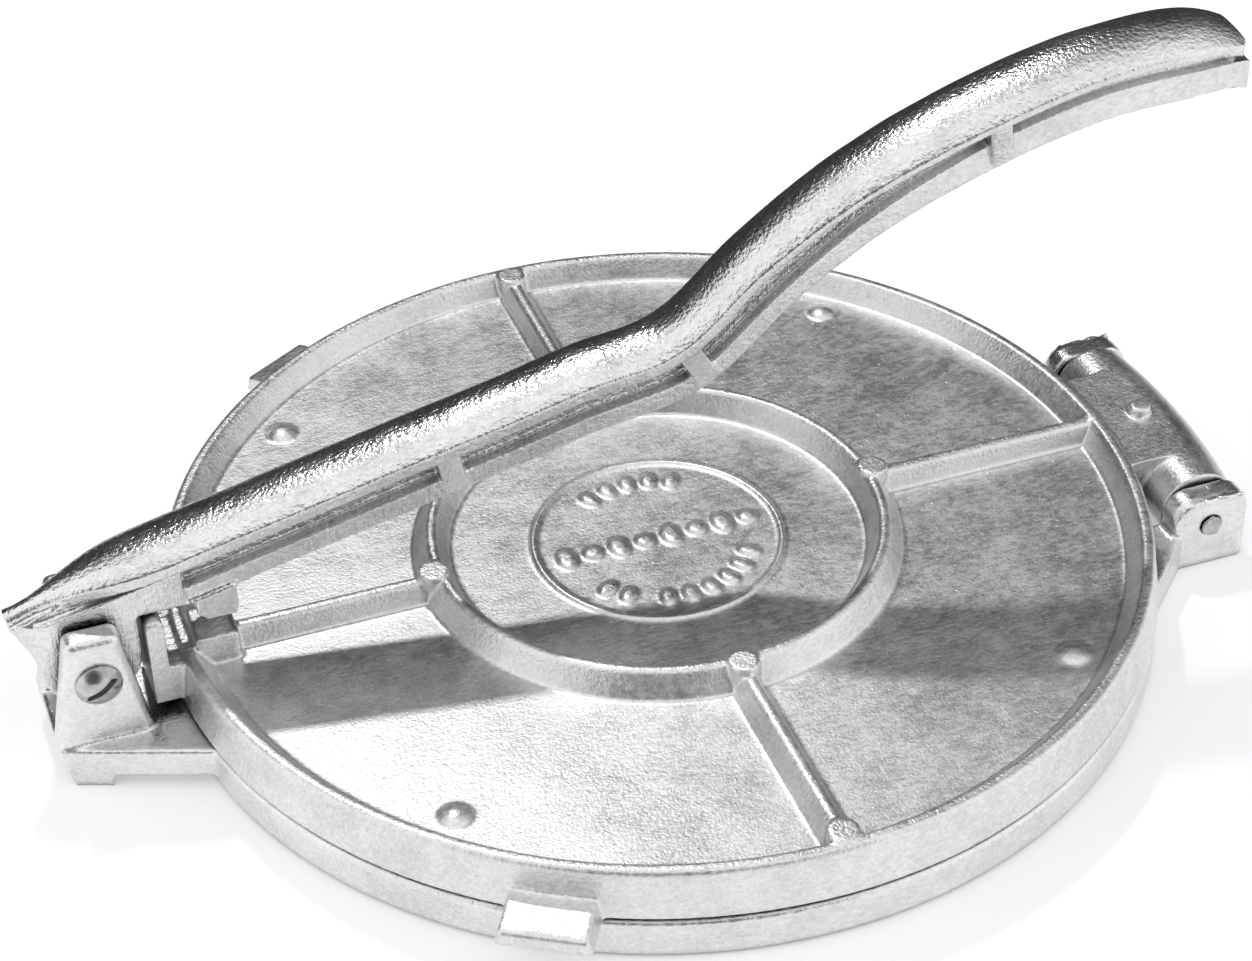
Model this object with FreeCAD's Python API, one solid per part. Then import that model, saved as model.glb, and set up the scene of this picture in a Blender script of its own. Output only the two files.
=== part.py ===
import FreeCAD, Part
import math
import os

# Tortilla press in cast aluminium: a base plate, a lid hinged to it on the right,
# and a lever that pivots in two ears on the left and presses the lid down.
# Millimetres. The origin is the centre of the round base, at table level.
# +X runs to the hinge, +Z is up, and the lever lies along X over the lid.

V = FreeCAD.Vector
UP = V(0, 0, 1)
ACROSS = V(0, 1, 0)
ALONG = V(1, 0, 0)

# Round plates
parting_radius = 101.4
lid_draft = 1.4
base_draft = 0.1
base_height = 9.0
press_gap = 0.3
lid_plate = 6.4
rim_height = 4.5
rim_width = 3.0
rim_slope = 2.6
edge_round = 0.7
underside_depth = 3.5
underside_wall = 6.0
underside_ring_radius = 46.0
underside_ring_width = 6.0
underside_rib_width = 5.0
centre_pad_radius = 14.0

# Raised pattern on the lid
ring_radius = 46.0
ring_top_width = 2.6
ring_foot_in = 3.5
ring_foot_out = 4.0
ring_proud = 0.7
rib_count = 4
rib_foot_width = 7.2
rib_top_width = 3.0
rib_crown = 0.6
rib_below_rim = 0.3
pip_radius = 3.2
pip_proud = 0.5
pip_setback = 1.4
dome_count = 4
dome_radius = 3.5
dome_height = 1.2
dome_setback = 5.8
badge_radius = 25.4
badge_line = 0.8
badge_height = 0.6
end_block_length = 9.0
end_block_width = 11.0
end_block_proud = 1.8
end_block_round = 1.0

# Lifting tabs on the wall of the lid
tab_angle = 121.0
tab_reach = 8.8
tab_foot_width = 18.4
tab_top_width = 14.8
tab_wall_height = 4.8
tab_front_height = 3.2
tab_round = 1.2

# Nose on the lid, under the lever
nose_reach = 5.0
nose_thickness = 3.6
nose_width = 16.0
nose_above_base = 2.2
nose_round = 1.6
nose_rest_gap = 0.3

# Hinge between base and lid
barrel_radius = 8.2
barrel_gap = 0.9
barrel_half = 24.6
tongue_half = 16.0
tongue_below_rim = 1.8
lobe_end_reach = 8.4
lobe_reach = 10.5
lobe_round = 8.0
hinge_height = 10.2
hinge_ear_thickness = 6.0
hinge_ear_back = 8.6
hinge_ear_front = 9.0
hinge_ear_rise = 6.7
hinge_ear_corner = 4.6
hinge_side_gap = 0.4
hinge_ear_round = 2.2
hinge_wing = 13.0
hinge_wing_start = 6.5
hinge_pin_radius = 2.0
hinge_pin_fit = 0.04
hinge_pin_running = 0.08
peen_radius = 2.5
peen_height = 0.8
tongue_pip_radius = 2.4
tongue_pip_height = 2.0

# Lever pivot bracket on the base
pivot_height = 23.2
bracket_end_margin = 9.7
bracket_end_slope = 2.2
bracket_plate = 6.5
bracket_flare = 11.9
bracket_foot = 9.5
ear_thickness = 6.0
ear_gap_half = 6.1
ear_foot_margin = 9.4
ear_top_width = 10.4
ear_rise = 10.2
ear_round = 1.8
bracket_round = 0.8

# Pivot screw and nut
screw_radius = 2.5
screw_fit = 0.05
screw_running = 0.08
screw_head_radius = 4.5
screw_head_height = 2.7
screw_head_rim = 0.5
screw_slot_width = 1.2
screw_slot_depth = 1.5
screw_slot_angle = 30.0
nut_across_flats = 8.0
nut_height = 4.0
nut_fit = 0.03
nut_seat_gap = 0.05
screw_end_proud = 1.4

# Lever: hub, arm and arched grip
hub_radius = 9.8
hub_gap = 0.8
hub_side_gap = 0.5
saddle_rise = 14.0
tail_reach = 14.2
tail_drop = 5.2
tail_width = 4.6
tail_neck = 11.0
tail_flare = 12.0
arm_slope = 12.45
bend_reach = 120.6
arch_length = 119.4
arch_rise = 43.5
arm_width = 15.6
grip_width = 18.8
end_width = 14.2
tail_crown = 1.2
arm_crown = 2.9
grip_crown = 3.6
end_crown = 1.6
arm_edge = 2.6
grip_edge = 1.5
arm_depth = 12.9
grip_depth = 12.8
end_depth = 10.6
web_width = 4.2
bead_width = 9.6
arm_bead = 4.2
grip_bead = 6.0
web_root = 1.0
underside_rise = 8.2
hub_neck_width = 7.6
hub_groove = 1.3
panel_inset = 9.4
pad_rise = 5.2
pad_foot = 1.6
pad_chamfer = 1.9
pad_inset = 11.4
pad_length = 7.6
pad_lap = 0.6
gusset_length = 4.8
gusset_taper = 0.6
grip_corner = 6.3
grip_end_round = 6.0
bead_past_grip = 1.8

# Outline of the arch, as shares of arch_length and arch_rise
arch_shares = [
    (0.033, 0.069),
    (0.093, 0.220),
    (0.195, 0.434),
    (0.298, 0.602),
    (0.400, 0.727),
    (0.503, 0.828),
    (0.607, 0.910),
    (0.712, 0.971),
    (0.819, 0.997),
    (0.927, 0.987),
    (1.000, 0.946),
    (1.030, 0.926),
]
# Left edge of the tail fin, as shares of tail_reach and hub_radius
fin_shares = [
    (0.94, 0.92),
    (0.84, 0.62),
    (0.75, 0.36),
]
# Where the gussets stand: shares of bend_reach before the bend, of arch_length after it
arm_gusset_shares = (0.595, 1.0)
arch_gusset_share = 0.532
# Stretch of the arch over which the arm widens into the grip
grip_start_shares = (0.08, 0.56)
# Stretch of the arch over which the edge of the top flange thins
thin_edge_shares = (-0.03, 0.24)
# Stretch at the end of the arch over which the grip narrows again
grip_end_share = 0.90
# Sections that the lever's top flange and its lower bead are drawn through
top_count = 29
low_count = 25

overrun = 1.0

# Levels and places that follow from the sizes above
lid_under = base_height + press_gap
lid_floor = lid_under + lid_plate
rim_top = lid_floor + rim_height
lid_top_radius = parting_radius - lid_draft
rim_inner_radius = lid_top_radius - rim_width
rim_foot_radius = rim_inner_radius - rim_slope

hinge_x = parting_radius + barrel_gap + barrel_radius
hinge_ear_inner = barrel_half + hinge_side_gap
hinge_ear_outer = hinge_ear_inner + hinge_ear_thickness

nose_x = -(parting_radius + nose_reach)
pivot_x = nose_x - hub_gap - hub_radius
pivot = V(pivot_x, 0, pivot_height)
hub_half = ear_gap_half - hub_side_gap
ear_outer = ear_gap_half + ear_thickness
ear_top = pivot_height + ear_rise
nose_top = pivot_height + underside_rise - nose_rest_gap
bracket_end = pivot_x - bracket_end_margin


def polygon(points):
    """Closed flat face through points."""
    return Part.Face(Part.makePolygon(points + [points[0]]))


def side_plate(points, half):
    """Solid with an outline in X and Z, as thick as twice half, centred on Y = 0."""
    face = polygon([V(x, -half, z) for x, z in points])
    return face.extrude(ACROSS * (half + half))


def floor_plate(points, low, high):
    """Solid with an outline in X and Y between two levels."""
    return polygon([V(x, y, low) for x, y in points]).extrude(UP * (high - low))


def turned(points):
    """Ring or disc with an outline in radius and height, turned about the Z axis."""
    return polygon([V(r, 0, z) for r, z in points]).revolve(V(0, 0, 0), UP, 360)


def rod(radius, start, end):
    """Round bar between two points."""
    path = end - start
    return Part.makeCylinder(radius, path.Length, start, path)


def block(x0, x1, y0, y1, z0, z1):
    """Rectangular solid between two corners."""
    return Part.makeBox(x1 - x0, y1 - y0, z1 - z0, V(x0, y0, z0))


def crowned_bar(foot, top, crown, low, high, start, end):
    """Bar along X with sloping sides and an arched top."""
    shoulder = high - crown
    edges = [
        Part.makeLine(V(start, top, shoulder), V(start, foot, low)),
        Part.makeLine(V(start, foot, low), V(start, -foot, low)),
        Part.makeLine(V(start, -foot, low), V(start, -top, shoulder)),
        Part.Arc(V(start, -top, shoulder), V(start, 0, high), V(start, top, shoulder)).toShape(),
    ]
    return Part.Face(Part.Wire(edges)).extrude(ALONG * (end - start))


def spun(shape, angle):
    """Copy of a shape turned about the Z axis."""
    copy = shape.copy()
    copy.rotate(V(0, 0, 0), UP, angle)
    return copy


def joined(shapes):
    """One solid out of overlapping ones."""
    return shapes[0].multiFuse(shapes[1:]).removeSplitter()


def rounded(shape, radius, wanted):
    """Shape with the edges rounded whose middle point is wanted."""
    edges = []
    for edge in shape.Edges:
        middle = edge.valueAt((edge.FirstParameter + edge.LastParameter) / 2)
        if wanted(middle):
            edges.append(edge)
    return shape.makeFillet(radius, edges)


def mirrored(shape):
    """Copy of a shape on the other side of the XZ plane."""
    return shape.mirror(V(0, 0, 0), ACROSS)


# Base plate

def base_disc():
    """Round pressing plate."""
    foot_radius = parting_radius - base_draft
    outline = [
        (0, 0),
        (foot_radius - edge_round, 0),
        (foot_radius, edge_round),
        (parting_radius, base_height - edge_round),
        (parting_radius - edge_round, base_height),
        (0, base_height),
    ]
    return turned(outline)


def underside_hollow():
    """Space under the base between its rim, a ring, ribs and a centre pad."""
    hollow_radius = parting_radius - base_draft - underside_wall
    hollow = Part.makeCylinder(hollow_radius, underside_depth + overrun, V(0, 0, -overrun))
    ring_outer = underside_ring_radius + underside_ring_width / 2
    ring_inner = underside_ring_radius - underside_ring_width / 2
    ring = Part.makeCylinder(ring_outer, underside_depth)
    ring = ring.cut(Part.makeCylinder(ring_inner, underside_depth))
    half_rib = underside_rib_width / 2
    ribs = []
    for i in range(rib_count):
        rib = block(ring_radius, hollow_radius + overrun, -half_rib, half_rib, 0, underside_depth)
        ribs.append(spun(rib, (i + 1 / 2) * 360 / rib_count))
    pad = Part.makeCylinder(centre_pad_radius, underside_depth)
    return hollow.cut(joined([ring] + ribs)).cut(pad)


def hinge_ear():
    """Ear beside the hinge barrel, with a wing that runs into the wall of the disc."""
    y0 = hinge_ear_inner
    y1 = hinge_ear_outer
    middle = (y0 + y1) / 2
    top = hinge_height + hinge_ear_rise
    knee = hinge_x - hinge_wing_start
    inside = knee - hinge_wing - hinge_wing
    ear = block(hinge_x - hinge_ear_back, hinge_x + hinge_ear_front, y0, y1, 0, top)
    ear = rounded(ear, hinge_ear_corner, lambda p: p.z > top - edge_round and abs(p.y - middle) < edge_round
                  and abs(p.x - hinge_x) > hinge_ear_corner)
    ear = rounded(ear, hinge_ear_round, lambda p: abs(p.y - y1) < edge_round and p.z > edge_round)
    wing = floor_plate([
        (inside, y0),
        (hinge_x, y0),
        (hinge_x, y1),
        (knee, y1),
        (knee - hinge_wing, y1 + hinge_wing),
        (inside, y1 + hinge_wing),
    ], 0, base_height)
    return ear, wing


def bracket():
    """Flared plate on the left of the disc that carries the two lever ears."""
    inside = -(parting_radius - underside_wall)
    reach = inside - bracket_end
    wide = ear_outer + bracket_flare
    low = base_height - bracket_plate
    outline = [
        (bracket_end, -ear_outer),
        (inside, -wide),
        (inside, wide),
        (bracket_end, ear_outer),
    ]
    plate = floor_plate(outline, low, base_height)
    foot_share = bracket_foot / reach
    foot_wide = ear_outer + bracket_flare * foot_share
    foot = floor_plate([
        (bracket_end, -ear_outer),
        (bracket_end + bracket_foot, -foot_wide),
        (bracket_end + bracket_foot, foot_wide),
        (bracket_end, ear_outer),
    ], 0, base_height)
    heel = side_plate([
        (bracket_end - overrun, -overrun),
        (bracket_end + bracket_end_slope, -overrun),
        (bracket_end + bracket_end_slope, 0),
        (bracket_end, base_height - bracket_round - bracket_round),
        (bracket_end - overrun, base_height - bracket_round - bracket_round),
    ], wide)
    solid = joined([plate, foot]).cut(heel)
    return rounded(solid, bracket_round, lambda p: p.z > base_height - bracket_round and p.x < inside - edge_round)


def lever_ear():
    """Tapered ear on the near side of the lever hub."""
    left = bracket_end
    right = pivot_x + ear_foot_margin
    half_top = ear_top_width / 2
    outline = [
        (left, base_height - bracket_plate / 2),
        (right, base_height - bracket_plate / 2),
        (right, base_height),
        (pivot_x + half_top, ear_top),
        (pivot_x - half_top, ear_top),
        (left, base_height),
    ]
    face = polygon([V(x, -ear_outer, z) for x, z in outline])
    ear = face.extrude(ACROSS * ear_thickness)
    return rounded(ear, ear_round, lambda p: p.z > base_height + ear_round)


def base_plate():
    """The lower casting, drilled for the hinge pin and the lever screw."""
    near_ear = lever_ear()
    far_hinge_ear, far_wing = hinge_ear()
    pieces = [base_disc(), bracket(), near_ear, mirrored(near_ear)]
    pieces += [far_hinge_ear, far_wing, mirrored(far_hinge_ear), mirrored(far_wing)]
    body = joined(pieces).cut(underside_hollow())
    wide = hinge_ear_outer + overrun
    pin_hole = rod(hinge_pin_radius + hinge_pin_fit, V(hinge_x, -wide, hinge_height), V(hinge_x, wide, hinge_height))
    reach = ear_outer + overrun
    screw_hole = rod(screw_radius + screw_fit, pivot - ACROSS * reach, pivot + ACROSS * reach)
    return body.cut(pin_hole).cut(screw_hole)


# Lid plate

def lid_disc():
    """Upper pressing plate with its raised rim."""
    outline = [
        (0, lid_under),
        (parting_radius - edge_round, lid_under),
        (parting_radius, lid_under + edge_round),
        (lid_top_radius, rim_top - edge_round),
        (lid_top_radius - edge_round, rim_top),
        (rim_inner_radius + edge_round, rim_top),
        (rim_inner_radius, rim_top - edge_round),
        (rim_foot_radius, lid_floor),
        (0, lid_floor),
    ]
    return turned(outline)


def lid_ring():
    """Raised ring round the middle of the lid."""
    half_top = ring_top_width / 2
    top = rim_top + ring_proud
    edges = [
        Part.makeLine(V(ring_radius + half_top, 0, top - rib_crown), V(ring_radius + ring_foot_out, 0, lid_floor)),
        Part.makeLine(V(ring_radius + ring_foot_out, 0, lid_floor), V(ring_radius + half_top, 0, lid_floor - overrun)),
        Part.makeLine(V(ring_radius + half_top, 0, lid_floor - overrun), V(ring_radius - half_top, 0, lid_floor - overrun)),
        Part.makeLine(V(ring_radius - half_top, 0, lid_floor - overrun), V(ring_radius - ring_foot_in, 0, lid_floor)),
        Part.makeLine(V(ring_radius - ring_foot_in, 0, lid_floor), V(ring_radius - half_top, 0, top - rib_crown)),
        Part.Arc(
            V(ring_radius - half_top, 0, top - rib_crown),
            V(ring_radius, 0, top),
            V(ring_radius + half_top, 0, top - rib_crown),
        ).toShape(),
    ]
    return Part.Face(Part.Wire(edges)).revolve(V(0, 0, 0), UP, 360)


def badge_circle():
    """Thin raised circle in the middle of the lid."""
    half = badge_line / 2
    outline = [
        (badge_radius - badge_line, lid_floor - overrun),
        (badge_radius + badge_line, lid_floor - overrun),
        (badge_radius + badge_line, lid_floor),
        (badge_radius + half / 2, lid_floor + badge_height),
        (badge_radius - half / 2, lid_floor + badge_height),
        (badge_radius - badge_line, lid_floor),
    ]
    return turned(outline)


def lid_ribs():
    """Four ribs from the ring to the rim, with round pips on their ends."""
    shapes = []
    top = rim_top - rib_below_rim
    end = rim_inner_radius + rim_width / 2
    bar = crowned_bar(rib_foot_width / 2, rib_top_width / 2, rib_crown, lid_floor - overrun, top, ring_radius, end)
    ring_pip_top = rim_top + ring_proud + pip_proud
    rim_pip_top = rim_top + pip_proud
    for i in range(rib_count):
        angle = i * 360 / rib_count
        shapes.append(spun(bar, angle))
        place = V(ring_radius + pip_setback, 0, lid_floor - overrun)
        shapes.append(spun(Part.makeCylinder(pip_radius, ring_pip_top - place.z, place), angle))
        if angle not in (0, 180):
            place = V(rim_inner_radius - pip_setback, 0, lid_floor - overrun)
            shapes.append(spun(Part.makeCylinder(pip_radius, rim_pip_top - place.z, place), angle))
    return shapes


def lid_domes():
    """Low round bumps on the floor, between the ribs."""
    sphere_radius = (dome_radius * dome_radius + dome_height * dome_height) / (dome_height + dome_height)
    distance = rim_foot_radius - dome_setback
    centre = V(distance, 0, lid_floor + dome_height - sphere_radius)
    ball = Part.makeSphere(sphere_radius, centre)
    slug = Part.makeCylinder(dome_radius, dome_height + overrun, V(distance, 0, lid_floor - overrun))
    cap = ball.common(slug)
    return [spun(cap, (i + 1 / 2) * 360 / dome_count) for i in range(dome_count)]


def end_block():
    """Raised block where the left rib meets the rim."""
    half = end_block_width / 2
    start = -rim_inner_radius
    solid = block(start, start + end_block_length, -half, half, lid_floor, rim_top + end_block_proud)
    solid = rounded(solid, end_block_round, lambda p: p.z > lid_floor + end_block_round)
    root = block(start, start + end_block_length, -half, half, lid_floor - overrun, lid_floor)
    return joined([solid, root])


def nose():
    """Upright nose on the left wall of the lid, which the lever presses."""
    half = nose_width / 2
    low = base_height + nose_above_base
    inside = nose_x + nose_thickness
    solid = block(nose_x, inside, -half, half, low, nose_top)
    solid = rounded(solid, nose_round, lambda p: p.z > nose_top - edge_round)
    root_end = -(lid_top_radius - rim_width / 2)
    root = block(inside - nose_thickness / 2, root_end, -half, half, low, rim_top - edge_round)
    return joined([solid, root])


def lifting_tab():
    """Flat tab on the wall of the lid, with sloping sides."""
    low = lid_under
    high = low + tab_wall_height
    start = lid_top_radius - rim_width
    end = parting_radius + tab_reach
    drop = tab_wall_height - tab_front_height
    face = polygon([
        V(start, -tab_foot_width / 2, low),
        V(start, tab_foot_width / 2, low),
        V(start, tab_top_width / 2, high + drop),
        V(start, -tab_top_width / 2, high + drop),
    ])
    outline = [
        (start, low),
        (end, low),
        (end, low + tab_front_height),
        (parting_radius, high),
        (start, high),
    ]
    tab = face.extrude(ALONG * (end - start)).common(side_plate(outline, tab_foot_width))
    return rounded(tab, tab_round, lambda p: abs(p.x - end) < edge_round and p.z > low + edge_round)


def lobe():
    """Outer part of the hinge barrel, which bulges in plan."""
    corner_near = V(hinge_x + lobe_end_reach, -barrel_half, 0)
    corner_far = V(hinge_x + lobe_end_reach, barrel_half, 0)
    back_far = V(hinge_x, barrel_half, 0)
    back_near = V(hinge_x, -barrel_half, 0)
    plan = Part.Face(Part.Wire([
        Part.Arc(corner_near, V(hinge_x + lobe_reach, 0, 0), corner_far).toShape(),
        Part.makeLine(corner_far, back_far),
        Part.makeLine(back_far, back_near),
        Part.makeLine(back_near, corner_near),
    ]))
    plan.translate(UP * (hinge_height - barrel_radius))
    body = plan.extrude(UP * (barrel_radius + barrel_radius))
    return rounded(body, lobe_round, lambda p: p.x > hinge_x + lobe_end_reach and abs(p.y) < edge_round)


def tongue():
    """Neck and barrel of the hinge, with a pip on top."""
    top = rim_top - tongue_below_rim
    start = lid_top_radius - rim_width
    neck = block(start, hinge_x, -tongue_half, tongue_half, lid_under, top)
    barrel = rod(barrel_radius, V(hinge_x, -barrel_half, hinge_height), V(hinge_x, barrel_half, hinge_height))
    pip_place = V(hinge_x - tongue_pip_radius / 2, 0, hinge_height)
    pip = Part.makeCylinder(tongue_pip_radius, top + tongue_pip_height - hinge_height, pip_place)
    pip = rounded(pip, tongue_pip_height / 3, lambda p: p.z > top)
    return joined([neck, barrel, lobe(), pip])


def lid_plate_casting():
    """The upper casting, bored for the hinge pin."""
    tab = lifting_tab()
    pieces = [lid_disc(), lid_ring(), badge_circle()]
    pieces += lid_ribs() + lid_domes()
    pieces += [end_block(), nose(), spun(tab, tab_angle), spun(tab, -tab_angle), tongue()]
    body = joined(pieces)
    wide = barrel_half + overrun
    bore = rod(hinge_pin_radius + hinge_pin_running, V(hinge_x, -wide, hinge_height), V(hinge_x, wide, hinge_height))
    return body.cut(bore)


# Lever

def smooth(low, high, share):
    """Value that eases from low to high as share goes from 0 to 1."""
    t = min(max(share, 0), 1)
    return low + (high - low) * t * t * (3 - t - t)


def lever_line():
    """Curve along the near top edge of the lever, from the tail tip to the end of the grip."""
    over_pivot = saddle_rise + arm_edge
    slope = math.tan(math.radians(arm_slope))
    bend = V(bend_reach, 0, over_pivot + slope * bend_reach)
    points = [
        V(-tail_reach, 0, over_pivot - tail_drop),
        V(-tail_reach / 2, 0, over_pivot - tail_drop / 2),
    ]
    for i in range(9):
        x = bend_reach * i / 8
        points.append(V(x, 0, over_pivot + slope * x))
    for along, up in arch_shares:
        points.append(V(bend.x + arch_length * along, 0, bend.z + arch_rise * up))
    curve = Part.BSplineCurve()
    curve.interpolate([pivot + p for p in points])
    return curve


def frames(curve, start_x, end_x, count):
    """Points on the lever line with their directions, evenly spaced in X."""
    result = []
    for i in range(count):
        x = start_x + (end_x - start_x) * i / (count - 1)
        cut = Part.Line(V(x, 0, 0), V(x, 0, pivot_height)).toShape(-arch_length, arch_length + bend_reach)
        hit = curve.toShape().distToShape(cut)[1][0][0]
        tangent = curve.tangent(curve.parameter(hit))[0]
        if tangent.x < 0:
            tangent = tangent * -1
        result.append((hit, tangent, V(-tangent.z, 0, tangent.x)))
    return result


def lever_sizes(x):
    """Half width, crown, edge, depth and bead height of the lever at a place along X."""
    reach = x - pivot_x
    arch_share = (reach - bend_reach) / arch_length
    swell_start, swell_end = grip_start_shares
    swell = (arch_share - swell_start) / (swell_end - swell_start)
    half = smooth(arm_width, grip_width, swell) / 2
    crown = smooth(arm_crown, grip_crown, swell)
    depth = smooth(arm_depth, grip_depth, swell)
    if reach < tail_reach:
        half = smooth(tail_width, arm_width, (reach + tail_neck) / (tail_neck + tail_flare)) / 2
        crown = smooth(tail_crown, arm_crown, (reach + tail_flare) / (tail_reach + tail_flare))
    if arch_share > grip_end_share:
        end_share = (arch_share - grip_end_share) / (1 - grip_end_share)
        half = smooth(grip_width, end_width, end_share) / 2
        crown = smooth(grip_crown, end_crown, end_share)
        depth = smooth(grip_depth, end_depth, end_share)
    thin_start, thin_end = thin_edge_shares
    edge = smooth(arm_edge, grip_edge, (arch_share - thin_start) / (thin_end - thin_start))
    bead = smooth(arm_bead, grip_bead, swell)
    return half, crown, edge, depth, bead


def flange_loft(stations):
    """Domed top flange of the lever."""
    wires = []
    for origin, tangent, normal in stations:
        half, crown, edge, depth, bead = lever_sizes(origin.x)
        near = origin - ACROSS * half
        far = origin + ACROSS * half
        low = normal * -edge
        wires.append(Part.Wire([
            Part.makeLine(far, far + low),
            Part.makeLine(far + low, near + low),
            Part.makeLine(near + low, near),
            Part.Arc(near, origin + normal * crown, far).toShape(),
        ]))
    return Part.makeLoft(wires, True, False)


def bead_loft(stations):
    """Web and lower bead of the lever."""
    wires = []
    for origin, tangent, normal in stations:
        half, crown, edge, depth, bead = lever_sizes(origin.x)
        web = web_width / 2
        wide = bead_width / 2
        levels = [
            (web, web_root - edge),
            (web, bead - depth),
            (wide, bead - depth),
            (wide, -depth),
            (-wide, -depth),
            (-wide, bead - depth),
            (-web, bead - depth),
            (-web, web_root - edge),
        ]
        corners = [origin + ACROSS * y + normal * n for y, n in levels]
        wires.append(Part.makePolygon(corners + [corners[0]]))
    return Part.makeLoft(wires, True, False)


def gusset(station):
    """Short upright on both sides of the web."""
    origin, tangent, normal = station
    half, crown, edge, depth, bead = lever_sizes(origin.x)
    start = origin - tangent * (gusset_length / 2)
    wide = half - gusset_taper
    narrow = bead_width / 2
    levels = [(wide, -edge / 2), (wide, -edge), (narrow, gusset_taper - depth)]
    levels += [(-y, n) for y, n in reversed(levels)]
    return polygon([start + ACROSS * y + normal * n for y, n in levels]).extrude(tangent * gusset_length)


def hub_outline(top_drop):
    """Outline of the hub in X and Z from the pivot, its top that far below the lever line."""
    over_pivot = saddle_rise + arm_edge
    slope = math.tan(math.radians(arm_slope))
    right = hub_radius
    panel_end = right + panel_inset
    pad_start = right + pad_inset
    pad_end = pad_start + pad_length
    bead_low = over_pivot - arm_depth
    outline = [
        (-tail_reach, over_pivot - tail_drop - arm_edge / 2),
    ]
    outline += [(-tail_reach * along, hub_radius * up) for along, up in fin_shares]
    outline += [
        (-hub_radius, 0),
        (right, 0),
        (right, underside_rise),
        (pad_start, underside_rise),
        (pad_start, pad_rise),
        (pad_start + pad_chamfer, pad_rise - pad_foot),
        (pad_end, pad_rise - pad_foot),
        (pad_end + pad_lap, pad_rise),
        (pad_end + pad_lap, bead_low + slope * pad_end + pad_lap),
        (panel_end, bead_low + slope * panel_end + pad_lap),
        (panel_end, over_pivot + slope * panel_end - top_drop),
        (0, over_pivot - top_drop),
    ]
    return [(pivot_x + x, pivot_height + z) for x, z in outline]


def hub():
    """Plate between the ears: tail fin, pivot boss and the pad over the rim of the lid."""
    plate = side_plate(hub_outline(arm_edge + hub_groove), hub_half)
    neck = side_plate(hub_outline(arm_edge / 2), hub_neck_width / 2)
    tip = pivot_x - tail_reach - overrun
    knee = pivot_x - tail_reach / 2
    end = pivot_x + bend_reach
    narrow = tail_width / 2
    plan = floor_plate([
        (tip, -narrow),
        (knee, -hub_half),
        (end, -hub_half),
        (end, hub_half),
        (knee, hub_half),
        (tip, narrow),
    ], 0, ear_top + ear_top)
    boss = rod(hub_radius, pivot - ACROSS * hub_half, pivot + ACROSS * hub_half)
    return joined([joined([plate, neck]).common(plan), boss])


def lever_envelope(curve, tip, end):
    """Space that the lever stays within: the grip's end is round in plan and over the top."""
    wide = grip_width / 2
    start = tip - overrun
    grip_end = end - bead_past_grip
    origin = frames(curve, grip_end - grip_end_round, end, 2)[0][0]
    half, crown, edge, depth, bead = lever_sizes(origin.x)
    top = origin.z + crown
    high = top + grip_end_round
    centre = V(origin.x, 0, top - grip_end_round)
    plan = block(start, grip_end, -wide, wide, 0, high)
    plan = rounded(plan, grip_corner, lambda p: p.x > grip_end - edge_round and abs(p.y) > wide - edge_round)
    side = joined([
        block(start, origin.x, -wide - overrun, wide + overrun, -overrun, high + overrun),
        block(start, grip_end, -wide - overrun, wide + overrun, -overrun, centre.z),
        rod(grip_end_round, centre - ACROSS * (wide + overrun), centre + ACROSS * (wide + overrun)),
    ])
    split = frames(curve, grip_end, end, 2)[1][0].z - (edge + depth - bead) / 2
    lower = block(start, end, -bead_width / 2, bead_width / 2, 0, split)
    return joined([plan.common(side), lower])


def lever_handle():
    """The lever casting, bored for its screw."""
    curve = lever_line()
    tip = pivot_x - tail_reach
    panel_end = pivot_x + hub_radius + panel_inset
    bend_x = pivot_x + bend_reach
    end = bend_x + arch_length
    drawn_end = bend_x + arch_length * arch_shares[-1][0]
    top_stations = frames(curve, tip, drawn_end, top_count)
    low_stations = frames(curve, panel_end - web_width, drawn_end, low_count)
    pad_start = pivot_x + hub_radius + pad_inset
    nose_space = block(pivot_x, pad_start, -hub_half, hub_half, 0, pivot_height + underside_rise)
    pieces = [flange_loft(top_stations), bead_loft(low_stations).cut(nose_space), hub()]
    for share in arm_gusset_shares:
        x = pivot_x + bend_reach * share
        pieces.append(gusset(frames(curve, x, x + gusset_length, 2)[0]))
    x = bend_x + arch_length * arch_gusset_share
    pieces.append(gusset(frames(curve, x, x + gusset_length, 2)[0]))
    body = joined(pieces).common(lever_envelope(curve, tip, end))
    wide = hub_half + overrun
    bore = rod(screw_radius + screw_running, pivot - ACROSS * wide, pivot + ACROSS * wide)
    return body.cut(bore)


# Fasteners

def lever_screw():
    """Round-headed slotted screw through both lever ears, its head on the near one."""
    seat = ear_outer
    face = seat + screw_head_height
    shank_end = ear_outer + nut_seat_gap + nut_height + screw_end_proud
    dome = screw_head_height - screw_head_rim
    ball_radius = (screw_head_radius * screw_head_radius + dome * dome) / (dome + dome)
    ball = Part.makeSphere(ball_radius, pivot - ACROSS * (face - ball_radius))
    head = rod(screw_head_radius, pivot - ACROSS * seat, pivot - ACROSS * face).common(ball)
    shank = rod(screw_radius, pivot - ACROSS * seat, pivot + ACROSS * shank_end)
    half_slot = screw_slot_width / 2
    reach = screw_head_radius + overrun
    slot = block(
        pivot.x - reach, pivot.x + reach,
        -face - overrun, -face + screw_slot_depth,
        pivot.z - half_slot, pivot.z + half_slot,
    )
    slot.rotate(pivot, ACROSS, -screw_slot_angle)
    return joined([head, shank]).cut(slot)


def lever_nut():
    """Hexagon nut on the far lever ear."""
    start = ear_outer + nut_seat_gap
    corner = nut_across_flats / 2 / math.cos(math.radians(30))
    points = []
    for i in range(6):
        angle = math.radians(60 * i)
        points.append(pivot + V(corner * math.cos(angle), start, corner * math.sin(angle)))
    nut = polygon(points).extrude(ACROSS * nut_height)
    hole = rod(screw_radius + nut_fit, pivot + ACROSS * (start - overrun), pivot + ACROSS * (start + nut_height + overrun))
    return nut.cut(hole)


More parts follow.
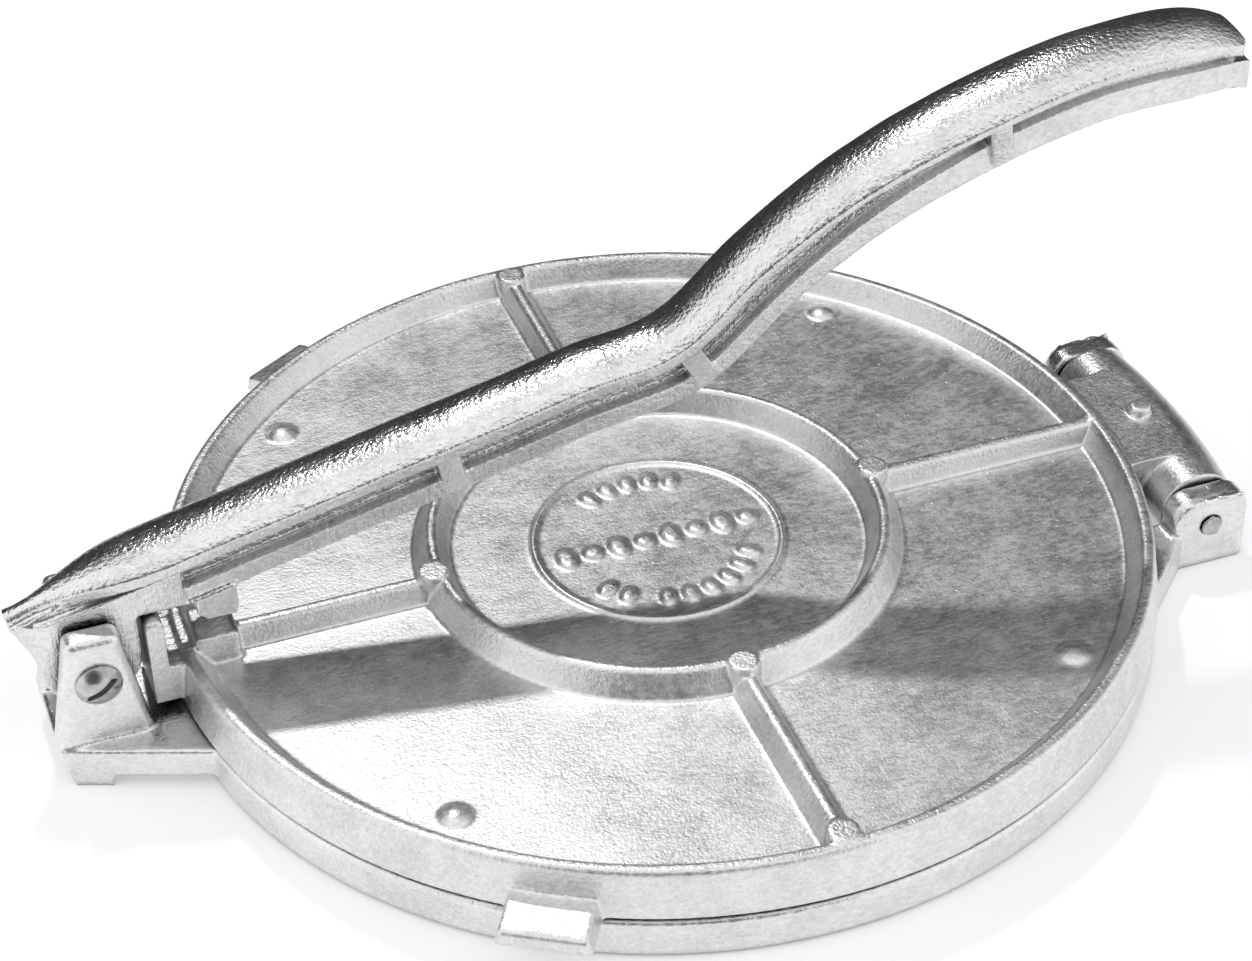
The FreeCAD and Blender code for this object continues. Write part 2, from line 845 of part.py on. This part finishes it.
def hinge_pin():
    """Plain pin through the hinge, with both ends peened over the ears."""
    axis = V(hinge_x, 0, hinge_height)
    end = hinge_ear_outer
    shaft = rod(hinge_pin_radius, axis - ACROSS * end, axis + ACROSS * end)
    peen = rod(peen_radius, axis + ACROSS * end, axis + ACROSS * (end + peen_height))
    peen = rounded(peen, peen_height * 0.7, lambda p: p.y > end + peen_height / 2)
    return joined([shaft, peen, mirrored(peen)])


def main():
    """Write one file per piece."""
    os.makedirs("parts", exist_ok=True)
    pieces = {
        "base_plate": base_plate(),
        "lid_plate": lid_plate_casting(),
        "lever_handle": lever_handle(),
        "lever_screw": lever_screw(),
        "lever_nut": lever_nut(),
        "hinge_pin": hinge_pin(),
    }
    for name, shape in pieces.items():
        print(name, "solids", len(shape.Solids), "valid", shape.isValid(), "volume", round(shape.Volume))
        shape.exportStep("parts/" + name + ".step")


main()
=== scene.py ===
import math

import bmesh
import bpy
import numpy as np
from mathutils import Matrix, Vector, noise


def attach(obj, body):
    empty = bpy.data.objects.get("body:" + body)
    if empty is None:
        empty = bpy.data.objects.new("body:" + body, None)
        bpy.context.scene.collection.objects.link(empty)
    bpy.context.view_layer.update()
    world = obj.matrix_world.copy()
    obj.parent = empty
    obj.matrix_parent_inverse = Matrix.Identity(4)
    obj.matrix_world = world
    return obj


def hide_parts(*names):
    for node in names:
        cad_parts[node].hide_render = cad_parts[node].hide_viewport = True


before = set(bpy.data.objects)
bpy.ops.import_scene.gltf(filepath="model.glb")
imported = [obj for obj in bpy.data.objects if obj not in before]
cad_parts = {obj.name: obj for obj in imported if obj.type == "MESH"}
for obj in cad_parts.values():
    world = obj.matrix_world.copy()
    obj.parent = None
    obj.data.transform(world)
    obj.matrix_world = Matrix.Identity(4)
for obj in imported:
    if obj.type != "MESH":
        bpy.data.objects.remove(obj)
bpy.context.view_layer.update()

MM = 0.001

# The camera, worked out from the photograph: where it stands round the press
camera_azimuth = -19.05
camera_elevation = 37.64
camera_roll = -1.33
camera_distance = 598.8 * MM
camera_slide = -6.4 * MM
camera_lift = 8.1 * MM
camera_lens = 84.86
camera_near = 10 * MM
sensor_width = 36.0

# Room: where it is dark behind the press and round the camera
back_direction = (0.40, 0.85, 0.30)
back_edge = (0.25, 0.88)
front_direction = (-0.30, -0.85, 0.40)
front_edge = (0.74, 0.96)
room_light = 1.15
room_dark = 0.14

# Dark card behind the press, in metres
card_left = -0.30
card_right = 0.36
card_back = 0.135
card_height = 0.255
card_tone = 0.04

# Lamp behind the press, in metres and watts
key_place = (0.0, 0.832, 1.268)
key_size = 0.07
key_power = 4.6

# Floor: half its width in metres, its tone, and its glow in the camera and in reflections
floor_half = 4.0
floor_tone = 0.72
floor_glow = 0.4
dull_roughness = 0.9

# Heights on the lid: its rim, its floor, and where the skin turns from plain to grainy
rim_top = 20.2 * MM
lid_floor = 15.7 * MM
relief_start = lid_floor + 1.2 * MM
relief_end = lid_floor + 2.4 * MM

# Raised ornament inside the thin circle of the lid: beads in a row and in two arcs
bead_depth = 0.5 * MM
bead_height = 0.75 * MM
bead_sides = 14
bead_shares = ((1.0, 0.0), (0.86, 0.6), (0.5, 0.94))
row_pitch = 5.6 * MM
row_count = 8
row_bead = (4.4 * MM, 7.0 * MM)
round_bead = (4.4 * MM, 4.4 * MM)
arc_radius = 19.0 * MM
arc_bead = (3.4 * MM, 5.2 * MM)
top_arc_angles = (62, 76, 90, 104, 118)
low_arc_angles = (218, 232, 256, 270, 284, 298, 312, 326)

# Casting seam on the outer edges of the hinge ears: its corners in mm from the pin, in X and Z
pin_centre = (110.5 * MM, 10.2 * MM)
seam_path = ((-8.2, -4.0), (-8.2, 1.8), (-5.6, 5.4), (0.5, 6.2), (7.4, 5.9))
seam_inset = 0.5 * MM
seam_radius = 0.62 * MM
seam_step = 0.55 * MM
seam_wave = 1.3 * MM
seam_wander = 0.4 * MM
seam_lift = 0.3 * MM
seam_shares = (0.8, 0.5)
ear_outer = 31.0 * MM

# Tumbled castings: voxels, rounds of smoothing, and how uneven the skin is over which length
lid_tumbling = {
    "voxel": 0.4 * MM,
    "smoothing": 4,
    "uneven": 0.12 * MM,
    "unevenness_size": 14 * MM,
}
base_tumbling = {
    "voxel": 0.48 * MM,
    "smoothing": 4,
    "uneven": 0.12 * MM,
    "unevenness_size": 14 * MM,
}
lever_tumbling = {
    "voxel": 0.36 * MM,
    "smoothing": 2,
    "uneven": 0.15 * MM,
    "unevenness_size": 9 * MM,
}
pin_tumbling = {
    "voxel": 0.16 * MM,
    "smoothing": 2,
    "uneven": 0.5 * MM,
    "unevenness_size": 1.2 * MM,
}
smooth_factor = 0.5

# Broken edges of the screw and the nut
edge_width = 0.18 * MM
edge_angle = 35
weld_distance = 0.001 * MM

# Casting skin: the size of its marks, from wide clouds to fine drawn lines
cloud_size = 22 * MM
patch_size = 6 * MM
pebble_size = 1.6 * MM
nick_size = 1.3 * MM
scuff_size = 0.8 * MM
scuff_stretch = (2.2, 1, 1)
mark_size = 0.42 * MM
mark_stretch = (1, 6, 12)

# Casting skin: depth of the small marks, and which share each one has in tone and gloss
scuff_depth = 0.012 * MM
nick_depth = 0.04 * MM
tone_shares = (0.35, 0.35, 0.15, 0.15)
gloss_shares = (0.4, 0.4, 0.2)

# Casting skin: between which values a texture goes from nothing to full
grain_range = (0.3, 0.7)
nick_range = (0.7, 0.76)
tone_range = (0.36, 0.62)
wall_range = (0.6, 0.2)

# Painted shade in grooves and corners: how far it looks, how dark it gets, and between which
# values
groove_shade_reach = 4.5 * MM
groove_shade_tone = 0.08
groove_shade_range = (0.12, 0.6)

# The lever's nose is grainy: it stands left of nose_start
nose_start = -100.6 * MM
nose_end = -102.0 * MM

# Finish of each casting: tones, gloss, and the depth of each kind of relief
lever_finish = {
    "tones": (0.62, 0.82),
    "gloss_range": (0.18, 0.28),
    "grain_size": 0.85 * MM,
    "grain": 0.085 * MM,
    "plain_grain": 0.085 * MM,
    "pebble": 0.02 * MM,
    "skin": 0.08 * MM,
    "drawn": 0.04 * MM,
    "relief": (0.0, 1 * MM),
}
lid_finish = {
    "tones": (0.64, 0.86),
    "gloss_range": (0.34, 0.48),
    "grain_size": 0.62 * MM,
    "grain": 0.05 * MM,
    "plain_grain": 0.02 * MM,
    "pebble": 0.012 * MM,
    "skin": 0.05 * MM,
    "drawn": 0.02 * MM,
    "relief": (relief_start, relief_end),
}
base_finish = {
    "tones": (0.68, 0.88),
    "gloss_range": (0.26, 0.38),
    "grain_size": 0.62 * MM,
    "grain": 0.045 * MM,
    "plain_grain": 0.045 * MM,
    "pebble": 0.03 * MM,
    "skin": 0.1 * MM,
    "drawn": 0.02 * MM,
    "relief": (0.0, 1 * MM),
}

# Steel of the screw, the nut and the pin
steel_dark = (0.3, 0.3, 0.31)
steel_light = (0.6, 0.6, 0.61)
steel_gloss = (0.12, 0.26)
steel_cloud = 3 * MM
steel_mark = 0.4 * MM
steel_depth = 0.02 * MM


def link(obj):
    """Puts an object in the scene."""
    bpy.context.scene.collection.objects.link(obj)
    return obj


# Materials

class Nodes:
    """Short calls for building a material's node tree."""

    def __init__(self, name):
        self.material = bpy.data.materials.new(name)
        self.material.use_nodes = True
        self.tree = self.material.node_tree
        self.shader = self.tree.nodes["Principled BSDF"]
        self.place = self.tree.nodes.new("ShaderNodeTexCoord").outputs["Object"]

    def wire(self, source, socket):
        self.tree.links.new(source, socket)

    def noise(self, size, detail=2.0, roughness=0.5, stretch=(1, 1, 1)):
        """Noise with features of about that size in metres."""
        mapping = self.tree.nodes.new("ShaderNodeMapping")
        mapping.inputs["Scale"].default_value = [1 / (size * s) for s in stretch]
        self.wire(self.place, mapping.inputs["Vector"])
        texture = self.tree.nodes.new("ShaderNodeTexNoise")
        texture.inputs["Scale"].default_value = 1.0
        texture.inputs["Detail"].default_value = detail
        texture.inputs["Roughness"].default_value = roughness
        self.wire(mapping.outputs["Vector"], texture.inputs["Vector"])
        return texture.outputs["Fac"]

    def spread(self, source, low, high, start=0.35, end=0.65):
        """Value that goes from low to high as source goes from start to end."""
        node = self.tree.nodes.new("ShaderNodeMapRange")
        node.inputs["From Min"].default_value = start
        node.inputs["From Max"].default_value = end
        node.inputs["To Min"].default_value = low
        node.inputs["To Max"].default_value = high
        self.wire(source, node.inputs["Value"])
        return node.outputs["Result"]

    def math(self, operation, a, b):
        """Sum, product and so on of two values, either of them a number."""
        node = self.tree.nodes.new("ShaderNodeMath")
        node.operation = operation
        for socket, value in zip(node.inputs, (a, b)):
            if isinstance(value, (int, float)):
                socket.default_value = value
            else:
                self.wire(value, socket)
        return node.outputs["Value"]

    def blend(self, values, shares):
        """Sum of values, each times its share."""
        total = 0.0
        for value, share in zip(values, shares):
            total = self.math("ADD", self.math("MULTIPLY", value, share), total)
        return total

    def zone(self, axis, start, end):
        """0 on one side of start and 1 beyond end, along an axis of the part."""
        split = self.tree.nodes.new("ShaderNodeSeparateXYZ")
        self.wire(self.place, split.inputs["Vector"])
        return self.spread(split.outputs[axis], 0.0, 1.0, start, end)

    def facing(self, axis, start, end):
        """0 to 1 as the surface turns towards an axis, or away from it."""
        geometry = self.tree.nodes.new("ShaderNodeNewGeometry")
        split = self.tree.nodes.new("ShaderNodeSeparateXYZ")
        self.wire(geometry.outputs["Normal"], split.inputs["Vector"])
        turned = self.math("ABSOLUTE", split.outputs[axis], 0.0)
        return self.spread(turned, 0.0, 1.0, start, end)

    def open_share(self, distance):
        """1 where the surface lies open, and towards 0 deep in grooves and corners."""
        node = self.tree.nodes.new("ShaderNodeAmbientOcclusion")
        node.samples = 4
        node.inputs["Distance"].default_value = distance
        return node.outputs["AO"]

    def bump(self, height, depth, normal=None):
        """Surface relief of that depth in metres."""
        node = self.tree.nodes.new("ShaderNodeBump")
        node.inputs["Strength"].default_value = 1.0
        node.inputs["Distance"].default_value = depth
        self.wire(height, node.inputs["Height"])
        if normal is not None:
            self.wire(normal, node.inputs["Normal"])
        return node.outputs["Normal"]

    def colour(self, source, dark, light, start=0.3, end=0.7):
        """Colour between two tints, chosen by source."""
        node = self.tree.nodes.new("ShaderNodeValToRGB")
        node.color_ramp.elements[0].position = start
        node.color_ramp.elements[0].color = (*dark, 1)
        node.color_ramp.elements[1].position = end
        node.color_ramp.elements[1].color = (*light, 1)
        self.wire(source, node.inputs["Fac"])
        return node.outputs["Color"]


def cast_aluminium(name, tones, gloss_range, grain_size, grain, plain_grain, pebble, skin,
                   drawn, relief):
    """Tumbled cast aluminium: undulating skin, pebbles, grain, scuffs, nicks and drawn walls,
    with painted shade in grooves and corners.
    """
    n = Nodes(name)
    n.shader.inputs["Metallic"].default_value = 1.0
    cloud = n.noise(cloud_size, detail=4)
    patches = n.noise(patch_size, detail=4, roughness=0.6)
    pebbles = n.noise(pebble_size, detail=2)
    grains = n.spread(n.noise(grain_size, detail=2, roughness=0.5), 0.0, 1.0, *grain_range)
    scuffs = n.noise(scuff_size, detail=3, roughness=0.6, stretch=scuff_stretch)
    scuffs = n.spread(scuffs, 0.0, 1.0)
    nicks = n.spread(n.noise(nick_size, detail=1), 0.0, 1.0, *nick_range)
    marks = n.spread(n.noise(mark_size, detail=2, stretch=mark_stretch), 0.0, 1.0)

    tone = n.blend((cloud, patches, grains, scuffs), tone_shares)
    # Painted shade: the base colour is darkened in grooves and corners, where shade falls
    painted_groove_shade = n.spread(n.open_share(groove_shade_reach), groove_shade_tone, 1.0, *groove_shade_range)
    grey = n.math("MULTIPLY", n.spread(tone, *tones, *tone_range), painted_groove_shade)
    n.wire(grey, n.shader.inputs["Base Color"])
    gloss = n.blend((cloud, patches, scuffs), gloss_shares)
    n.wire(n.spread(gloss, *gloss_range), n.shader.inputs["Roughness"])

    high = n.zone("Z", *relief)
    nose = n.zone("X", nose_start, nose_end)
    grainy = n.spread(n.math("MAXIMUM", high, nose), plain_grain / grain, 1.0, 0.0, 1.0)
    wall = n.facing("Z", *wall_range)
    normal = n.bump(patches, skin)
    normal = n.bump(pebbles, pebble, normal)
    normal = n.bump(n.math("MULTIPLY", grains, grainy), grain, normal)
    normal = n.bump(scuffs, scuff_depth, normal)
    normal = n.bump(nicks, nick_depth, normal)
    normal = n.bump(n.math("MULTIPLY", marks, wall), drawn, normal)
    n.wire(normal, n.shader.inputs["Normal"])
    return n.material


def turned_steel(name):
    """Plain steel of the screw, the nut and the pin."""
    n = Nodes(name)
    n.shader.inputs["Metallic"].default_value = 1.0
    marks = n.noise(steel_mark, detail=3)
    cloud = n.noise(steel_cloud, detail=3)
    n.wire(n.colour(cloud, steel_dark, steel_light), n.shader.inputs["Base Color"])
    n.wire(n.spread(marks, *steel_gloss), n.shader.inputs["Roughness"])
    n.wire(n.bump(marks, steel_depth), n.shader.inputs["Normal"])
    return n.material


def floor_white():
    """White to the camera and in reflections, and takes a soft shadow."""
    n = Nodes("floor_white")
    n.shader.inputs["Base Color"].default_value = (floor_tone, floor_tone, floor_tone, 1)
    n.shader.inputs["Roughness"].default_value = dull_roughness
    n.shader.inputs["Specular IOR Level"].default_value = 0.0
    n.shader.inputs["Emission Color"].default_value = (1, 1, 1, 1)
    path = n.tree.nodes.new("ShaderNodeLightPath")
    seen = n.math("MAXIMUM", path.outputs["Is Camera Ray"], path.outputs["Is Glossy Ray"])
    seen = n.math("MAXIMUM", seen, path.outputs["Is Transmission Ray"])
    n.wire(n.math("MULTIPLY", seen, floor_glow), n.shader.inputs["Emission Strength"])
    return n.material


def card_black():
    """Dull black of the card that stands behind the press."""
    n = Nodes("card_black")
    n.shader.inputs["Base Color"].default_value = (card_tone, card_tone, card_tone, 1)
    n.shader.inputs["Roughness"].default_value = dull_roughness
    return n.material


# Castings

def low_bead(mesh, x, y, turn, size):
    """Adds a small closed bead with an oval foot to a bmesh."""
    levels = [(1.0, -bead_depth)]
    levels += [(width, bead_height * height) for width, height in bead_shares]
    rings = []
    for share, level in levels:
        ring = []
        for i in range(bead_sides):
            angle = 2 * math.pi * i / bead_sides
            across = math.cos(angle) * size[0] / 2 * share
            along = math.sin(angle) * size[1] / 2 * share
            place = (
                x + across * math.cos(turn) - along * math.sin(turn),
                y + across * math.sin(turn) + along * math.cos(turn),
                lid_floor + level,
            )
            ring.append(mesh.verts.new(place))
        rings.append(ring)
    for low, high in zip(rings, rings[1:]):
        for i in range(bead_sides):
            j = (i + 1) % bead_sides
            mesh.faces.new((low[i], low[j], high[j], high[i]))
    mesh.faces.new(rings[-1])
    mesh.faces.new(rings[0][::-1])


def add_ornament(mesh):
    """Row and two arcs of small beads inside the thin circle."""
    for i in range(row_count):
        x = (i - (row_count - 1) / 2) * row_pitch
        size = row_bead if i % 2 == 0 else round_bead
        low_bead(mesh, x, 0.0, 0.0, size)
    for degrees in top_arc_angles + low_arc_angles:
        angle = math.radians(degrees)
        x = arc_radius * math.cos(angle)
        y = arc_radius * math.sin(angle)
        low_bead(mesh, x, y, angle - math.pi / 2, arc_bead)


def add_seam(mesh):
    """Thin uneven casting seam along the outer edge of both hinge ears."""
    x0, z0 = pin_centre
    corners = [Vector((x0 + x * MM, z0 + z * MM)) for x, z in seam_path]
    plain_share, wobble_share = seam_shares
    for start, end in zip(corners, corners[1:]):
        count = max(2, round((end - start).length / seam_step))
        for i in range(count):
            x, z = start.lerp(end, i / count)
            wobble = noise.noise(Vector((x, z, 0)) / seam_wave)
            radius = seam_radius * (plain_share + wobble_share * wobble)
            for side in (-1, 1):
                y = side * (ear_outer - seam_inset + seam_wander * wobble)
                place = Matrix.Translation((x, y, z + seam_lift * wobble))
                bmesh.ops.create_icosphere(mesh, subdivisions=2, radius=radius, matrix=place)


def tumbled_mesh(node, voxel, smoothing, extra):
    """Mesh of a CAD casting with anything extra on it and its edges tumbled round."""
    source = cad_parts[node]
    work = link(bpy.data.objects.new(node + "_work", source.data.copy()))
    if extra:
        mesh = bmesh.new()
        mesh.from_mesh(work.data)
        extra(mesh)
        mesh.to_mesh(work.data)
        mesh.free()
    remesh = work.modifiers.new("skin", "REMESH")
    remesh.mode = "VOXEL"
    remesh.voxel_size = voxel
    smooth = work.modifiers.new("tumbled", "SMOOTH")
    smooth.factor = smooth_factor
    smooth.iterations = smoothing
    graph = bpy.context.evaluated_depsgraph_get()
    mesh = bpy.data.meshes.new_from_object(work.evaluated_get(graph))
    bpy.data.objects.remove(work)
    return mesh


def softened(node, voxel, smoothing, uneven, unevenness_size, extra=None):
    """Copy of a CAD casting with tumbled edges and a slightly uneven skin."""
    mesh = tumbled_mesh(node, voxel, smoothing, extra)
    count = len(mesh.vertices)
    places = np.empty(count * 3, np.float32)
    normals = np.empty(count * 3, np.float32)
    mesh.vertices.foreach_get("co", places)
    mesh.vertex_normals.foreach_get("vector", normals)
    places = places.reshape(-1, 3)
    normals = normals.reshape(-1, 3)
    level = np.empty(count, np.float32)
    for i, place in enumerate(places):
        level[i] = noise.noise(Vector(place) / unevenness_size)
    inward = uneven * (level - 1) / 2
    places += normals * inward[:, None]
    mesh.vertices.foreach_set("co", places.ravel())
    mesh.polygons.foreach_set("use_smooth", [True] * len(mesh.polygons))
    mesh.update()
    mesh.materials.clear()
    return link(bpy.data.objects.new(node + "_cast", mesh))


def dress(casting, node, body, material):
    """Gives a casting its material and its place on the frame."""
    casting.data.materials.append(material)
    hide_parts(node)
    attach(casting, body)


def fastener(node, material):
    """CAD fastener with its edges broken and its own material."""
    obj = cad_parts[node]
    weld = obj.modifiers.new("weld", "WELD")
    weld.merge_threshold = weld_distance
    bevel = obj.modifiers.new("edges", "BEVEL")
    bevel.width = edge_width
    bevel.segments = 2
    bevel.limit_method = "ANGLE"
    bevel.angle_limit = math.radians(edge_angle)
    obj.data.materials.clear()
    obj.data.materials.append(material)


# Stage

def add_sheet(name, corners, material):
    """Flat sheet with four corners."""
    mesh = bpy.data.meshes.new(name)
    mesh.from_pydata(corners, [], [(0, 1, 2, 3)])
    mesh.materials.append(material)
    return link(bpy.data.objects.new(name, mesh))


def add_floor():
    """Large pale floor."""
    half = floor_half
    corners = [(-half, -half, 0), (half, -half, 0), (half, half, 0), (-half, half, 0)]
    floor = add_sheet("floor", corners, floor_white())


def add_dark_card():
    """Dark card behind the press that only reflections see."""
    left, right, back, high = card_left, card_right, card_back, card_height
    corners = [(left, back, 0), (right, back, 0), (right, back, high), (left, back, high)]
    card = add_sheet("dark_card", corners, card_black())
    card.visible_camera = False
    card.visible_diffuse = False
    card.visible_shadow = False
    card.visible_transmission = False


def add_key():
    """Small square lamp behind the press, pointed at the lid's rim."""
    light = bpy.data.lights.new("key", "AREA")
    light.size = key_size
    light.energy = key_power
    lamp = link(bpy.data.objects.new("key", light))
    lamp.location = key_place
    aim = Vector((0, 0, rim_top)) - Vector(key_place)
    lamp.rotation_euler = aim.to_track_quat("-Z", "Y").to_euler()


def dark_patch(tree, place, direction, edge):
    """1 towards a direction and 0 away from it, with a soft edge."""
    dot = tree.nodes.new("ShaderNodeVectorMath")
    dot.operation = "DOT_PRODUCT"
    dot.inputs[1].default_value = Vector(direction).normalized()
    tree.links.new(place, dot.inputs[0])
    patch = tree.nodes.new("ShaderNodeMapRange")
    patch.interpolation_type = "SMOOTHSTEP"
    patch.inputs["From Min"].default_value = edge[0]
    patch.inputs["From Max"].default_value = edge[1]
    tree.links.new(dot.outputs["Value"], patch.inputs["Value"])
    return patch.outputs["Result"]


def add_world():
    """Studio room: pale overhead and at the sides, dark behind the press and by the camera."""
    world = bpy.data.worlds.new("studio")
    bpy.context.scene.world = world
    world.use_nodes = True
    tree = world.node_tree
    place = tree.nodes.new("ShaderNodeTexCoord").outputs["Generated"]
    darker = tree.nodes.new("ShaderNodeMath")
    darker.operation = "MAXIMUM"
    tree.links.new(dark_patch(tree, place, back_direction, back_edge), darker.inputs[0])
    tree.links.new(dark_patch(tree, place, front_direction, front_edge), darker.inputs[1])
    ramp = tree.nodes.new("ShaderNodeValToRGB")
    ramp.color_ramp.elements[0].color = (room_light, room_light, room_light, 1)
    ramp.color_ramp.elements[1].color = (room_dark, room_dark, room_dark, 1)
    tree.links.new(darker.outputs["Value"], ramp.inputs["Fac"])
    path = tree.nodes.new("ShaderNodeLightPath")
    mix = tree.nodes.new("ShaderNodeMix")
    mix.data_type = "RGBA"
    tree.links.new(path.outputs["Is Camera Ray"], mix.inputs["Factor"])
    tree.links.new(ramp.outputs["Color"], mix.inputs["A"])
    mix.inputs["B"].default_value = (1, 1, 1, 1)
    background = tree.nodes["Background"]
    tree.links.new(mix.outputs["Result"], background.inputs["Color"])
    background.inputs["Strength"].default_value = 1.0


def add_camera():
    """Camera at the photograph's place."""
    a = math.radians(camera_azimuth)
    e = math.radians(camera_elevation)
    r = math.radians(camera_roll)
    back = Vector((math.sin(a) * math.cos(e), -math.cos(a) * math.cos(e), math.sin(e)))
    right = Vector((math.cos(a), math.sin(a), 0))
    up = back.cross(right)
    side = right * math.cos(r) + up * math.sin(r)
    top = up * math.cos(r) - right * math.sin(r)
    centre = Vector((0, 0, rim_top))
    eye = centre + back * camera_distance + side * camera_slide + top * camera_lift
    data = bpy.data.cameras.new("photo_view")
    data.sensor_width = sensor_width
    data.lens = camera_lens
    data.clip_start = camera_near
    camera = link(bpy.data.objects.new("photo_view", data))
    turn = Matrix((side, top, back)).transposed().to_4x4()
    camera.matrix_world = Matrix.Translation(eye) @ turn
    bpy.context.scene.camera = camera


lever_skin = cast_aluminium("lever_skin", **lever_finish)
lid_skin = cast_aluminium("lid_skin", **lid_finish)
base_skin = cast_aluminium("base_skin", **base_finish)
steel = turned_steel("fastener_steel")

lid = softened("lid_plate", **lid_tumbling, extra=add_ornament)
base = softened("base_plate", **base_tumbling, extra=add_seam)
lever = softened("lever_handle", **lever_tumbling)
pin = softened("hinge_pin", **pin_tumbling)
dress(lid, "lid_plate", "lid", lid_skin)
dress(base, "base_plate", "base", base_skin)
dress(lever, "lever_handle", "lever", lever_skin)
dress(pin, "hinge_pin", "base", steel)
for name in ("lever_screw", "lever_nut"):
    fastener(name, steel)

add_floor()
add_world()
add_dark_card()
add_key()
add_camera()
bpy.context.scene.view_settings.view_transform = "Standard"
